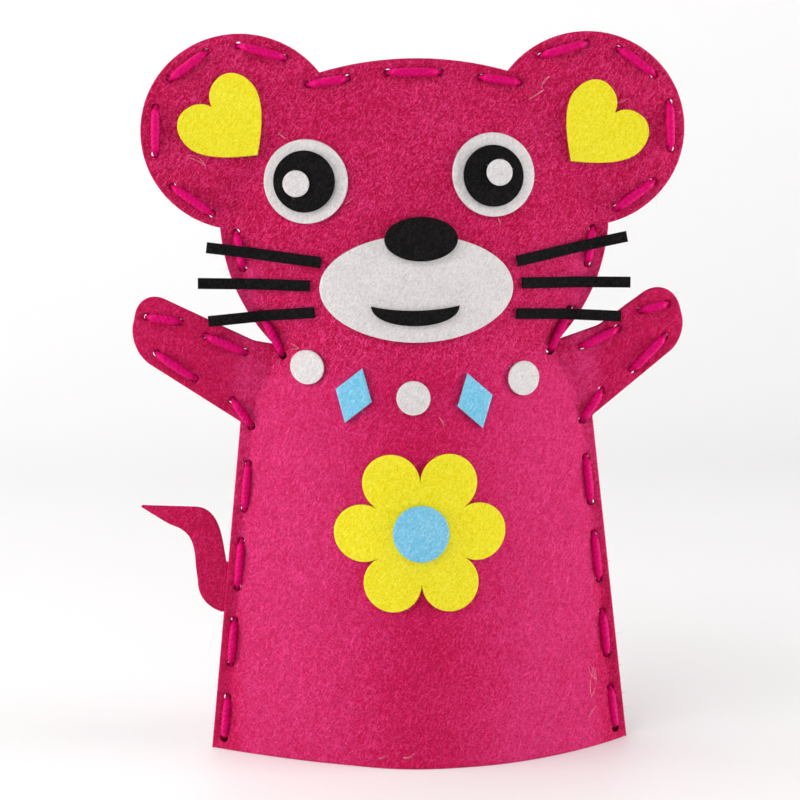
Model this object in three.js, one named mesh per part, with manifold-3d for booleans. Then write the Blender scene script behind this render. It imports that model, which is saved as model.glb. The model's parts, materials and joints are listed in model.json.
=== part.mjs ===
// Mouse hand puppet: two pink felt panels sewn together round the edge with one twisted yarn, an open
// hem for the hand, and flat felt trims glued on the front. Sizes in mm. +Z is up, the face looks
// towards -Y, and left and right are the viewer's. Felt layers lie in the XZ plane.
import * as THREE from 'three';
import { mergeVertices } from 'three/addons/utils/BufferGeometryUtils.js';
import Module from 'manifold-3d';

const wasm = await Module();
wasm.setup();

// ---------- sizes: cloth and yarn ----------
const panelFelt = 1.2; // thickness of the pink felt
const trimFelt = 1.0; // thickness of the glued trims
const tailFelt = 0.8;
const glueGap = 0.4; // between a trim and what it is glued to
const yarnRadius = 0.75;
const yarnGap = 0.3; // between the yarn and the felt it lies on
const holeRadius = 1.3; // punched stitching holes
const seamOpening = 1.4; // between the two panels along the seam: room for the tail's tab
const seamInset = 3.9; // from the cut edge to the stitch line
const creaseInset = 2.1; // from the stitch line to where the body starts to bulge

// ---------- sizes: body ----------
const hemHalfWidth = 72;
const armpitHalfWidth = 60;
const armpitHeight = 113;
const armholeDepth = 26.2; // from the armpit up to the neck notch
const neckHalfWidth = 48.4;
const hemBulge = 34; // how far each panel stands forward of the seam at the hem
const chestBulge = 21;
const neckBulge = 18.5;

// ---------- sizes: head and ears, heights above the neck ----------
const cheekBow = 3.8;
const muzzleBulge = 15;
const eyeBulge = 9;
const earRadius = 33.2;
const earFlatten = 0.976; // the ears are a little less tall than wide
const earCentreX = 58;
const earRise = 70.9;
const earLowAngle = -77; // degrees, where the cheek meets the ear
const earTopAngle = 143; // where the ear meets the top of the head
const headTopRise = 94.8;

// ---------- sizes: arms, measured out and up from the neck notch ----------
const armReach = 48.8;
const armBendRadius = 8;
const leftArm = {
  bend: [6.5, 1.2],
  pawTop: [44.2, 19.6],
  heel: [armReach, -1.4],
  pawTopRadius: 7,
  heelRadius: 13,
  holes: [[14, -18.7], [26.6, -11.3], [39.3, -2.4], [42.2, 9.9], [31.2, 8.1], [22.5, 3.1], [9.5, -2.6]],
};
const rightArm = {
  bend: [13.7, 4.6],
  pawTop: [38.6, 22.4],
  heel: [armReach - 4.6, 0.2],
  pawTopRadius: 8.4,
  heelRadius: 12,
  holes: [[14.7, -17.7], [25.2, -10.7], [36.4, 0.6], [37.3, 11.7], [28.2, 9.5], [20.3, 3.5], [7.8, -2.5]],
};

// ---------- sizes: joints ----------
const armHingeGap = 3; // felt left out between the torso and an arm
const yarnHingeGap = 3; // from a hinge line to the nearest yarn
const neckGap = 2.4; // felt left out between the torso and the head, at the seam
const torsoNeckSlope = 0.12; // how much the torso's top edge drops for each mm of bulge
const headNeckSlope = 0.17; // how much the head's lower edge rises for each mm of bulge
const tailHingeOut = 0.6; // the tail's hinge line, outside the cut edge
const tailHingeGap = 0.6;

// ---------- sizes: stitches ----------
const sideHoleAt = [0.031, 0.156, 0.261, 0.394, 0.496, 0.637, 0.735, 0.873, 0.986]; // of armpit height
const neckHole = [3.2, -3.8]; // in and up from the neck notch
const cheekHoles = [[0.24, 3.6], [0.65, 4.8], [0.95, 5.3]]; // share of the way up the cheek, and inset
const earHoleAngles = [-70, -38.5, -14, 17.5, 38.5, 68, 90, 121]; // round the ear, in degrees
const headTopHoles = [[35.2, 86.4], [22.3, 88.4], [8.6, 90.2]]; // from the middle, above the neck
const yarnBend = 0.9; // how soon before a hole the yarn starts to turn

// ---------- sizes: trims, heights above the neck unless named otherwise ----------
const heart = { length: 27.3, halfWidth: 15, tipX: 52.4, tilt: 43, leftRise: 63.9, rightRise: 60.7 };
const eyeDiscs = [13.9, 10.2, 4.4]; // radii of the white, the black and the small white disc
const leftEye = [[-36.7, 54.5], [-37.3, 54.5], [-40, 53.8]];
const rightEye = [[25.7, 56.1], [25.6, 55.7], [27.5, 56.8]];
const muzzle = { x: -0.6, rise: 19.1, halfWidth: 32.2, halfHeight: 17.6 };
const nose = { x: 0.9, rise: 35.3, halfWidth: 12.2, halfHeight: 7.3 };
const mouth = { x: -1.4, rise: 13.5, halfWidth: 14.6, upperDip: 1.5, lowerDip: 6.8 };
const whiskerWidth = 3.8;
const whiskers = {
  left_top: [[-32.2, 27.8], [-70.1, 32.9]],
  left_middle: [[-36, 20.1], [-73.2, 21]],
  left_low: [[-34.6, 11.3], [-70, 8.2]],
  right_top: [[33, 27.3], [71.3, 34.8]],
  right_middle: [[34.6, 20.1], [72.5, 19.3]],
  right_low: [[32.6, 10], [69.3, 7.8]],
};
const chestDiscRadius = 5.6;
// the necklace hangs from notch to notch: shares of the neck's half width, and heights above the neck
const chestDiscs = { left: [-0.771, -7], middle: [-0.056, -16.5], right: [0.723, -11.6] };
const diamondHalfWidth = 6.2;
const diamondHalfHeight = 9.4;
const diamonds = {
  left: { at: -0.459, rise: -15.7, turn: -19 },
  right: { at: 0.368, rise: -17.9, turn: 15 },
};
const flower = { x: -1, at: 0.694, notchRadius: 16.8, petalRadius: 9.5, petals: 6, centreRadius: 9.3 };

// ---------- sizes: tail, out from the seam edge and up from the middle of its root ----------
const tailAt = 0.496; // of armpit height
const tailRootHalf = 8.7;
const tailTip = [28.2, 28.2];
const tailTipHalf = 0.5; // the blunt end of the tip
const tailWidth = 9.6;
const tailTabDepth = 6.6;

// ---------- sizes: facets ----------
const curvePieces = 5; // straight pieces in each curve of an outline
const holeSides = 6;
const yarnSides = 6;
const tallCell = 13; // height of a panel facet
const neckCell = 7; // the same round the neck, where the panels curve most
const trimCell = 8; // width of a trim facet
const trimTallCell = 5; // height of a trim facet
const trimMargin = 0.5; // how far a trim's sheet reaches past its outline
const cutMargin = 10; // how far a cutting block reaches past what it cuts

const origin = new THREE.Vector2();
const neckHeight = armpitHeight + armholeDepth;
const seamHalf = seamOpening / 2;
const flatFace = seamHalf + panelFelt;
const yarnDepth = flatFace + yarnGap + yarnRadius;
const notch = new THREE.Vector2(neckHalfWidth, neckHeight);
const armpit = new THREE.Vector2(armpitHalfWidth, armpitHeight);
const hingeOut = new THREE.Vector2(neckHeight - armpitHeight, armpitHalfWidth - neckHalfWidth).normalize();
const degrees = Math.PI / 180;

// ---------- the cheek, from the neck notch up to where the ear starts ----------
const earZ = neckHeight + earRise;
const onEar = (angle, inset = 0) => new THREE.Vector2(
  earCentreX + (earRadius - inset) * Math.cos(angle * degrees),
  earZ + (earRadius * earFlatten - inset) * Math.sin(angle * degrees),
);

// The curve from one point to another that stands off the straight line by bow.
function bowed(from, to, bow) {
  const run = to.clone().sub(from);
  const off = new THREE.Vector2(run.y, -run.x).setLength(2 * bow);
  return new THREE.QuadraticBezierCurve(from, from.clone().addScaledVector(run, 0.5).add(off), to);
}

const cheek = bowed(notch, onEar(earLowAngle), cheekBow);
const cheekHolesAt = cheekHoles.map(([share, inset]) => {
  const along = cheek.getTangent(share);
  const hole = cheek.getPoint(share).add(new THREE.Vector2(-along.y, along.x).setLength(inset));
  return [hole.x, hole.y];
});

// ---------- the bulge of the body ----------
const edgeAt = (z) => hemHalfWidth + (armpitHalfWidth - hemHalfWidth) * (z / armpitHeight);
const flatMargin = seamInset + creaseInset;
const notchMargin = 0.9; // the flat edge is this much wider at the notch
const earMargin = 6.6; // and the bulge reaches this far into the ears
const widthStations = [
  [0, edgeAt(0) - flatMargin],
  [armpitHeight / 2, edgeAt(armpitHeight / 2) - flatMargin],
  [armpitHeight, armpitHalfWidth - flatMargin],
  [neckHeight - armholeDepth / 2, (neckHalfWidth + armpitHalfWidth) / 2 - flatMargin],
  [neckHeight, neckHalfWidth - flatMargin - notchMargin],
  ...cheekHolesAt.map(([x, z]) => [z, x - creaseInset]),
  [earZ, headTopHoles[0][0] + 2 * creaseInset + earMargin],
  [neckHeight + headTopRise, headTopHoles[0][0] - creaseInset],
];
const bulgeTop = neckHeight + headTopHoles[0][1] - creaseInset;
const bulgeStations = [
  [0, hemBulge],
  [armpitHeight / 2, (hemBulge + chestBulge) / 2],
  [armpitHeight + armholeDepth / 2, chestBulge],
  [neckHeight, neckBulge],
  [neckHeight + muzzle.rise, muzzleBulge],
  [neckHeight + leftEye[0][1], eyeBulge],
  [bulgeTop, 0],
  [neckHeight + headTopRise, 0],
];

// A smooth curve through the stations: a cubic between each two, with the slopes of their neighbours.
function through(stations, z) {
  const last = stations.length - 1;
  if (z <= stations[0][0]) return stations[0][1];
  if (z >= stations[last][0]) return stations[last][1];
  let i = 0;
  while (z > stations[i + 1][0]) i += 1;
  const slope = (k) => {
    const a = stations[Math.max(k - 1, 0)];
    const b = stations[Math.min(k + 1, last)];
    return (b[1] - a[1]) / (b[0] - a[0]);
  };
  const step = stations[i + 1][0] - stations[i][0];
  const t = (z - stations[i][0]) / step;
  const h = t * t * (3 - 2 * t);
  const rise = t * (1 - t) * (1 - t) * slope(i) - t * t * (1 - t) * slope(i + 1);
  return stations[i][1] * (1 - h) + stations[i + 1][1] * h + step * rise;
}

const creaseAt = (z) => through(widthStations, z);
const crownAt = (z) => Math.max(through(bulgeStations, z), 0);

function bulge(x, z) {
  const u = x / creaseAt(z);
  return Math.abs(u) < 1 ? crownAt(z) * (1 - u * u) : 0;
}

// How much longer than its thickness the felt is along Y, where it slopes.
function slant(x, z) {
  const d = 0.5;
  if (bulge(x, z) === 0) return 1;
  const across = (bulge(x + d, z) - bulge(x - d, z)) / (2 * d);
  const up = (bulge(x, z + d) - bulge(x, z - d)) / (2 * d);
  return Math.sqrt(1 + across * across + up * up);
}

const panelInner = (x, z) => seamHalf + bulge(x, z);
const panelOuter = (x, z) => panelInner(x, z) + panelFelt * slant(x, z);

// ---------- solids ----------
function toManifold(geometry) {
  const bare = geometry.clone();
  bare.deleteAttribute('normal');
  bare.deleteAttribute('uv');
  const merged = mergeVertices(bare, 1e-5);
  return new wasm.Manifold(new wasm.Mesh({
    numProp: 3,
    vertProperties: new Float32Array(merged.attributes.position.array),
    triVerts: new Uint32Array(merged.index.array),
  }));
}

function toGeometry(manifold) {
  const mesh = manifold.getMesh();
  const geometry = new THREE.BufferGeometry();
  geometry.setAttribute('position', new THREE.BufferAttribute(new Float32Array(mesh.vertProperties), 3));
  geometry.setIndex(new THREE.BufferAttribute(new Uint32Array(mesh.triVerts), 1));
  return geometry;
}

// An outline drawn in X and Z, made solid from y = near to y = far.
function prism(outline, near, far) {
  const geometry = new THREE.ExtrudeGeometry(outline, {
    depth: far - near,
    bevelEnabled: false,
    curveSegments: curvePieces,
  });
  geometry.rotateX(Math.PI / 2);
  geometry.translate(0, far, 0);
  return geometry;
}

// A sheet of felt between two depths in front of (side -1) or behind (side 1) the seam plane.
// columns(z) gives its grid in X for a height, rows its grid in Z.
function sheet(columns, rows, inner, outer, side) {
  const across = columns(rows[0]).length - 1;
  const geometry = new THREE.BoxGeometry(1, 1, 1, across, 1, rows.length - 1);
  const points = geometry.attributes.position;
  for (let i = 0; i < points.count; i += 1) {
    const z = rows[Math.round((points.getZ(i) + 0.5) * (rows.length - 1))];
    const x = columns(z)[Math.round((points.getX(i) + 0.5) * across)];
    const isOuter = points.getY(i) * side > 0;
    points.setXYZ(i, x, side * (isOuter ? outer(x, z) : inner(x, z)), z);
  }
  return toManifold(geometry);
}

function spread(from, to, cell) {
  const count = Math.max(1, Math.ceil((to - from) / cell));
  return Array.from({ length: count + 1 }, (_, i) => from + ((to - from) * i) / count);
}

function holeAt([x, z]) {
  const geometry = new THREE.CylinderGeometry(holeRadius, holeRadius, cutMargin, holeSides);
  geometry.translate(x, 0, z);
  return toManifold(geometry);
}

const widest = hemBulge + chestBulge + cutMargin; // deeper than any part of the puppet
const widePrism = (outline) => toManifold(prism(outline, -widest, widest));

function pierced(solid, holes) {
  return holes.reduce((rest, hole) => rest.subtract(holeAt(hole)), solid);
}

// One bulging panel piece: the sheet that follows the body, trimmed to an outline, with its holes.
function panelPiece(outline, holes, rows, side) {
  const reach = earCentreX + earRadius + cutMargin;
  const shares = [-1, -0.72, -0.36, 0, 0.36, 0.72, 1];
  const columns = (z) => [-reach, ...shares.map((u) => u * creaseAt(z)), reach];
  const felt = sheet(columns, rows, panelInner, panelOuter, side);
  return toGeometry(pierced(felt.intersect(widePrism(outline)), holes));
}

// A glued trim that follows the front panel. Level 1 lies on the panel, level 2 on a level 1 trim.
function trim(outline, level, clear = 0) {
  const box = new THREE.Box2().setFromPoints(outline.getPoints(curvePieces));
  const inner = (x, z) => {
    const lift = level * glueGap + (level - 1) * trimFelt;
    return Math.max(panelOuter(x, z) + lift * slant(x, z), clear);
  };
  const outer = (x, z) => inner(x, z) + trimFelt * slant(x, z);
  box.expandByScalar(trimMargin);
  const xs = spread(box.min.x, box.max.x, trimCell);
  const zs = spread(box.min.y, box.max.y, trimTallCell);
  return toGeometry(sheet(() => xs, zs, inner, outer, -1).intersect(widePrism(outline)));
}

// ---------- outlines ----------
function roundedOutline(corners) {
  const outline = new THREE.Shape();
  corners.forEach(([x, z, radius = 0], i) => {
    const here = new THREE.Vector2(x, z);
    const before = new THREE.Vector2(...corners.at(i - 1)).sub(here);
    const after = new THREE.Vector2(...corners[(i + 1) % corners.length]).sub(here);
    const half = Math.abs(before.angleTo(after)) / 2;
    const cut = radius / Math.tan(half);
    const start = here.clone().add(before.setLength(Math.max(cut, 1e-6)));
    const end = here.clone().add(after.setLength(Math.max(cut, 1e-6)));
    if (i === 0) outline.moveTo(start.x, start.y);
    else outline.lineTo(start.x, start.y);
    if (radius > 0) outline.quadraticCurveTo(here.x, here.y, end.x, end.y);
  });
  outline.closePath();
  return outline;
}

const torsoTop = neckHeight - neckGap / 2;
const headLow = neckHeight + neckGap / 2;

function torsoOutline() {
  const shoulder = notch.clone().addScaledVector(hingeOut, -armHingeGap / 2);
  const under = armpit.clone().addScaledVector(hingeOut, -armHingeGap / 2);
  const outline = new THREE.Shape();
  outline.moveTo(-hemHalfWidth, -cutMargin);
  outline.lineTo(hemHalfWidth, -cutMargin);
  outline.lineTo(hemHalfWidth, 0);
  outline.lineTo(edgeAt(armpitHeight - armHingeGap), armpitHeight - armHingeGap);
  outline.lineTo(under.x, under.y);
  outline.lineTo(shoulder.x, torsoTop);
  outline.quadraticCurveTo(0, torsoTop - 2 * torsoNeckSlope * neckBulge, -shoulder.x, torsoTop);
  outline.lineTo(-under.x, under.y);
  outline.lineTo(-edgeAt(armpitHeight - armHingeGap), armpitHeight - armHingeGap);
  outline.lineTo(-hemHalfWidth, 0);
  outline.closePath();
  return outline;
}

function headOutline() {
  const low = earLowAngle * degrees;
  const top = earTopAngle * degrees;
  const earLow = onEar(earLowAngle);
  const earTop = onEar(earTopAngle);
  const corner = new THREE.Vector2(neckHalfWidth + neckGap / 2, headLow);
  const bowPoint = bowed(corner, earLow, cheekBow).v1;
  const height = earRadius * earFlatten;
  const outline = new THREE.Shape();
  outline.moveTo(-corner.x, headLow);
  outline.quadraticCurveTo(0, headLow + 2 * headNeckSlope * neckBulge, corner.x, headLow);
  outline.quadraticCurveTo(bowPoint.x, bowPoint.y, earLow.x, earLow.y);
  outline.absellipse(earCentreX, earZ, earRadius, height, low, top, false, 0);
  outline.quadraticCurveTo(0, 2 * (neckHeight + headTopRise) - earTop.y, -earTop.x, earTop.y);
  outline.absellipse(-earCentreX, earZ, earRadius, height, Math.PI - top, Math.PI - low, false, 0);
  outline.quadraticCurveTo(-bowPoint.x, bowPoint.y, -corner.x, headLow);
  outline.closePath();
  return outline;
}

function armCorners(arm) {
  const shoulder = notch.clone().addScaledVector(hingeOut, armHingeGap / 2);
  const under = armpit.clone().addScaledVector(hingeOut, armHingeGap / 2);
  const from = ([out, up], radius) => [neckHalfWidth + out, neckHeight + up, radius];
  return [
    [under.x, under.y],
    from(arm.heel, arm.heelRadius),
    from(arm.pawTop, arm.pawTopRadius),
    from(arm.bend, armBendRadius),
    [shoulder.x, shoulder.y],
  ];
}

const mirrored = (corners) => corners.map(([x, z, radius]) => [-x, z, radius]).reverse();

function heartOutline(tipX, tipZ, tilt) {
  const turn = tilt * degrees;
  const at = (side, up) => {
    const p = new THREE.Vector2(side * heart.halfWidth, up * heart.length).rotateAround(origin, turn);
    return [tipX + p.x, tipZ + p.y];
  };
  const outline = new THREE.Shape();
  outline.moveTo(...at(0, 0));
  outline.bezierCurveTo(...at(0.4, 0.165), ...at(1, 0.42), ...at(1, 0.68));
  outline.bezierCurveTo(...at(1, 0.915), ...at(0.73, 1), ...at(0.53, 1));
  outline.bezierCurveTo(...at(0.3, 1), ...at(0.07, 0.935), ...at(0, 0.8));
  outline.bezierCurveTo(...at(-0.07, 0.935), ...at(-0.3, 1), ...at(-0.53, 1));
  outline.bezierCurveTo(...at(-0.73, 1), ...at(-1, 0.915), ...at(-1, 0.68));
  outline.bezierCurveTo(...at(-1, 0.42), ...at(-0.4, 0.165), ...at(0, 0));
  return outline;
}

function ellipseOutline(x, z, halfWidth, halfHeight) {
  const outline = new THREE.Shape();
  const sides = 4 * curvePieces;
  for (let i = 0; i < sides; i += 1) {
    const angle = (i / sides) * 2 * Math.PI;
    const point = [x + halfWidth * Math.cos(angle), z + halfHeight * Math.sin(angle)];
    if (i === 0) outline.moveTo(...point);
    else outline.lineTo(...point);
  }
  outline.closePath();
  return outline;
}

const discOutline = (x, z, radius) => ellipseOutline(x, z, radius, radius);

function mouthOutline() {
  const z = neckHeight + mouth.rise;
  const left = mouth.x - mouth.halfWidth;
  const right = mouth.x + mouth.halfWidth;
  const low = z - (4 / 3) * mouth.lowerDip;
  const outline = new THREE.Shape();
  outline.moveTo(left, z);
  outline.bezierCurveTo(left, low, right, low, right, z);
  outline.quadraticCurveTo(mouth.x, z - 2 * mouth.upperDip, left, z);
  return outline;
}

function stripOutline([x1, z1], [x2, z2], width) {
  const along = new THREE.Vector2(x2 - x1, z2 - z1).normalize();
  const off = new THREE.Vector2(-along.y, along.x).multiplyScalar(width / 2);
  return roundedOutline([
    [x1 - off.x, z1 - off.y],
    [x2 - off.x, z2 - off.y],
    [x2 + off.x, z2 + off.y],
    [x1 + off.x, z1 + off.y],
  ]);
}

function flowerOutline() {
  const z = flower.at * armpitHeight;
  const step = Math.PI / flower.petals;
  const halfChord = flower.notchRadius * Math.sin(step);
  const reach = flower.notchRadius * Math.cos(step) + Math.sqrt(flower.petalRadius ** 2 - halfChord ** 2);
  const outline = new THREE.Shape();
  for (let i = 0; i < flower.petals; i += 1) {
    const angle = 2 * step * i;
    const open = Math.PI - Math.asin(halfChord / flower.petalRadius);
    const centre = [flower.x + reach * Math.cos(angle), z + reach * Math.sin(angle)];
    outline.absarc(...centre, flower.petalRadius, angle - open, angle + open, false);
  }
  outline.closePath();
  return outline;
}

// ---------- the tail ----------
const tailRoot = tailAt * armpitHeight;
const tailRootEdge = (out) => [
  [-(edgeAt(tailRoot - tailRootHalf) + out), tailRoot - tailRootHalf],
  [-(edgeAt(tailRoot + tailRootHalf) + out), tailRoot + tailRootHalf],
];

function tailOutline() {
  const [low, high] = tailRootEdge(tailHingeOut + tailHingeGap / 2);
  const at = (out, up) => [-(edgeAt(tailRoot) + out), tailRoot + up];
  const outline = new THREE.Shape();
  outline.moveTo(...low);
  outline.lineTo(...high);
  outline.bezierCurveTo(...at(0.9, 16), ...at(1.2, 27.4), ...at(tailWidth, 28));
  outline.lineTo(...at(tailTip[0] - tailTipHalf, tailTip[1] + tailTipHalf));
  outline.lineTo(...at(tailTip[0], tailTip[1] - tailTipHalf));
  outline.lineTo(...at(22.5, 24.3));
  outline.lineTo(...at(16.2, 21));
  outline.bezierCurveTo(...at(11, 18.5), ...at(10.4, 14), ...at(tailWidth + 0.6, 8));
  outline.lineTo(...at(tailWidth, 1.8));
  outline.bezierCurveTo(...at(tailWidth, -4), ...at(5.4, -7.3), ...low);
  return outline;
}

function tailTabOutline() {
  const outer = tailRootEdge(tailHingeOut - tailHingeGap / 2);
  const inner = tailRootEdge(-tailTabDepth);
  return roundedOutline([inner[0], inner[1], outer[1], outer[0]].reverse());
}

// ---------- the yarn ----------
// A path of straight runs whose stations are exactly the given points, cut square to the mitre of
// each bend, so that the yarn keeps its thickness round the holes.
class YarnPath extends THREE.Curve {
  constructor(stations) {
    super();
    this.stations = stations;
  }

  getUtoTmapping(u) {
    return u;
  }

  getPoint(t) {
    const place = Math.min(Math.max(t, 0), 1) * (this.stations.length - 1);
    const i = Math.min(Math.floor(place + 1e-6), this.stations.length - 2);
    return this.stations[i].clone().lerp(this.stations[i + 1], place - i);
  }

  getTangent(t) {
    const i = Math.round(t * (this.stations.length - 1));
    const way = new THREE.Vector3();
    if (i > 0) way.add(this.stations[i].clone().sub(this.stations[i - 1]).normalize());
    if (i < this.stations.length - 1) {
      way.add(this.stations[i + 1].clone().sub(this.stations[i]).normalize());
    }
    return way.normalize();
  }
}

// A running stitch through the holes. startFront says on which side of the felt the yarn enters the
// first hole; lead and trail are optional loose ends before the first and after the last hole.
function runningStitch(holes, startFront, lead, trail) {
  const corners = [];
  let depth = startFront ? -yarnDepth : yarnDepth;
  if (lead) corners.push(new THREE.Vector3(lead[0], depth, lead[1]));
  holes.forEach(([x, z]) => {
    corners.push(new THREE.Vector3(x, depth, z));
    depth = -depth;
    corners.push(new THREE.Vector3(x, depth, z));
  });
  if (trail) corners.push(new THREE.Vector3(trail[0], depth, trail[1]));
  const stations = [corners[0]];
  for (let i = 1; i < corners.length - 1; i += 1) {
    [corners[i - 1], corners[i + 1]].forEach((next) => {
      const bend = Math.min(yarnBend, corners[i].distanceTo(next) / 2.5);
      stations.push(corners[i].clone().add(next.clone().sub(corners[i]).setLength(bend)));
    });
  }
  stations.push(corners.at(-1));
  const round = new THREE.Shape();
  round.absarc(0, 0, yarnRadius, 0, 2 * Math.PI, false);
  return new THREE.ExtrudeGeometry(round, {
    steps: stations.length - 1,
    curveSegments: yarnSides / 2,
    extrudePath: new YarnPath(stations),
    bevelEnabled: false,
  });
}

// The point on a stitch from one hole to the next where the yarn stops short of the arm's hinge.
function stopAtArmHinge(inside, outside, keepOut) {
  const a = new THREE.Vector2(...inside);
  const b = new THREE.Vector2(...outside);
  const share = (p) => p.clone().sub(notch).dot(hingeOut);
  const t = (keepOut - share(a)) / (share(b) - share(a));
  return a.lerp(b, t).toArray();
}

function stopAtHeight(from, to, z) {
  const t = (z - from[1]) / (to[1] - from[1]);
  return [from[0] + (to[0] - from[0]) * t, z];
}

const flip = (points, side) => points.map(([x, z]) => [side * x, z]);
const sideHoles = sideHoleAt.map((share) => {
  const z = share * armpitHeight;
  return [edgeAt(z) - seamInset, z];
});
const neckHoleAt = [neckHalfWidth - neckHole[0], neckHeight + neckHole[1]];
const armHolesOf = (arm) => arm.holes.map(([out, up]) => [neckHalfWidth + out, neckHeight + up]);
const headHoles = [
  ...cheekHolesAt,
  ...earHoleAngles.map((angle) => onEar(angle, seamInset).toArray()),
  ...headTopHoles.map(([x, up]) => [x, neckHeight + up]),
];

// ---------- materials ----------
const felt = (color) => ({ color, roughness: 0.95, metalness: 0 });
const looks = {
  pink: felt(0xd22b66),
  yellow: felt(0xf7ec2e),
  white: felt(0xdedada),
  black: felt(0x17171a),
  blue: felt(0x74c2e4),
  yarn: { color: 0xd6127c, roughness: 0.55, metalness: 0 },
};

const puppet = new THREE.Group();
puppet.name = 'mouse_hand_puppet';

function add(name, geometry, look) {
  const mesh = new THREE.Mesh(geometry, new THREE.MeshStandardMaterial(looks[look]));
  mesh.name = name;
  puppet.add(mesh);
}

// ---------- panels ----------
const bothSides = (holes) => [...flip(holes, -1), ...holes];
const torsoHoles = bothSides([...sideHoles, neckHoleAt]);
const headCut = bothSides(headHoles);
const torsoRows = [
  ...spread(0, armpitHeight, tallCell),
  ...spread(armpitHeight, torsoTop + 1, neckCell).slice(1),
];
const whiskerTop = cheekHolesAt[1][1];
const headRows = [
  ...spread(headLow - 1, whiskerTop, neckCell),
  ...spread(whiskerTop, bulgeTop, tallCell).slice(1),
  earZ + earRadius + cutMargin,
];
for (const [face, side] of [['front', -1], ['back', 1]]) {
  add(`torso_${face}`, panelPiece(torsoOutline(), torsoHoles, torsoRows, side), 'pink');
  add(`head_${face}`, panelPiece(headOutline(), headCut, headRows, side), 'pink');
}
for (const [name, arm, side] of [['left', leftArm, -1], ['right', rightArm, 1]]) {
  const corners = side < 0 ? mirrored(armCorners(arm)) : armCorners(arm);
  const holes = flip(armHolesOf(arm), side);
  const layers = { front: [-flatFace, -seamHalf], back: [seamHalf, flatFace] };
  for (const [face, [near, far]] of Object.entries(layers)) {
    const flat = toManifold(prism(roundedOutline(corners), near, far));
    add(`arm_${name}_${face}`, toGeometry(pierced(flat, holes)), 'pink');
  }
}

// ---------- yarn ----------
for (const [name, arm, side] of [['left', leftArm, -1], ['right', rightArm, 1]]) {
  const armHoles = armHolesOf(arm);
  const lastSide = sideHoles.at(-1);
  const sideEnd = stopAtArmHinge(lastSide, armHoles[0], -yarnHingeGap);
  const armStart = stopAtArmHinge(lastSide, armHoles[0], yarnHingeGap);
  const armEnd = stopAtArmHinge(neckHoleAt, armHoles.at(-1), yarnHingeGap);
  const neckStart = stopAtArmHinge(neckHoleAt, armHoles.at(-1), -yarnHingeGap);
  const neckEnd = stopAtHeight(neckHoleAt, headHoles[0], torsoTop - neckGap / 2);
  const run = (holes, front, lead, trail) => runningStitch(
    flip(holes, side),
    front,
    lead && [side * lead[0], lead[1]],
    trail && [side * trail[0], trail[1]],
  );
  add(`stitching_${name}_side`, run(sideHoles, false, null, sideEnd), 'yarn');
  add(`stitching_${name}_arm`, run(armHoles, true, armStart, armEnd), 'yarn');
  add(`stitching_${name}_neck`, run([neckHoleAt], false, neckStart, neckEnd), 'yarn');
}
const chin = stopAtHeight(headHoles[0], neckHoleAt, headLow + neckGap / 2);
const overHead = [...flip(headHoles, -1), ...[...headHoles].reverse()];
add('stitching_head', runningStitch(overHead, true, [-chin[0], chin[1]], chin), 'yarn');

// ---------- tail ----------
const tailHoles = flip(sideHoles, -1);
const tab = toManifold(prism(tailTabOutline(), -tailFelt / 2, tailFelt / 2));
add('tail_tab', toGeometry(pierced(tab, tailHoles)), 'pink');
add('tail', prism(tailOutline(), -tailFelt / 2, tailFelt / 2), 'pink');

// ---------- trims ----------
const rise = ([x, up]) => [x, neckHeight + up];
add('heart_left', trim(heartOutline(-heart.tipX, neckHeight + heart.leftRise, heart.tilt), 1), 'yellow');
add('heart_right', trim(heartOutline(heart.tipX, neckHeight + heart.rightRise, -heart.tilt), 1), 'yellow');
for (const [name, centres] of [['left', leftEye], ['right', rightEye]]) {
  const rings = ['white', 'black', 'glint'];
  rings.forEach((ring, i) => {
    const disc = discOutline(...rise(centres[i]), eyeDiscs[i]);
    add(`eye_${name}_${ring}`, trim(disc, i + 1), ring === 'black' ? 'black' : 'white');
  });
}
const muzzleShape = ellipseOutline(muzzle.x, neckHeight + muzzle.rise, muzzle.halfWidth, muzzle.halfHeight);
add('muzzle', trim(muzzleShape, 1), 'white');
const noseShape = ellipseOutline(nose.x, neckHeight + nose.rise, nose.halfWidth, nose.halfHeight);
add('nose', trim(noseShape, 2), 'black');
add('mouth', trim(mouthOutline(), 2), 'black');
const overYarn = yarnDepth + yarnRadius + yarnGap;
for (const [name, [inner, outer]] of Object.entries(whiskers)) {
  add(`whisker_${name}`, trim(stripOutline(rise(inner), rise(outer), whiskerWidth), 1, overYarn), 'black');
}
for (const [name, [at, up]] of Object.entries(chestDiscs)) {
  const disc = discOutline(at * neckHalfWidth, neckHeight + up, chestDiscRadius);
  add(`necklace_disc_${name}`, trim(disc, 1), 'white');
}
for (const [name, piece] of Object.entries(diamonds)) {
  const corners = [
    [-diamondHalfWidth, 0],
    [0, -diamondHalfHeight],
    [diamondHalfWidth, 0],
    [0, diamondHalfHeight],
  ];
  const outline = roundedOutline(corners.map(([across, up]) => {
    const corner = new THREE.Vector2(across, up).rotateAround(origin, piece.turn * degrees);
    return [piece.at * neckHalfWidth + corner.x, neckHeight + piece.rise + corner.y];
  }));
  add(`necklace_diamond_${name}`, trim(outline, 1), 'blue');
}
add('flower', trim(flowerOutline(), 1), 'yellow');
add('flower_centre', trim(discOutline(flower.x, flower.at * armpitHeight, flower.centreRadius), 2), 'blue');

// The origin is under the middle of the whole puppet, and the left arm reaches a little further out.
const bounds = new THREE.Box3().setFromObject(puppet);
const middle = (bounds.min.x + bounds.max.x) / 2;
puppet.children.forEach((mesh) => mesh.geometry.translate(-middle, 0, 0));

export default puppet;
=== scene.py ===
# Looks of the felt mouse hand puppet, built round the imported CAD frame. Sizes here are in mm and x is
# measured from the middle of the body, until mesh_piece() turns them into metres in the frame.
import json
from math import acos, asin, cos, dist, exp, hypot, inf, pi, radians, sin, sqrt, tan

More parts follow.
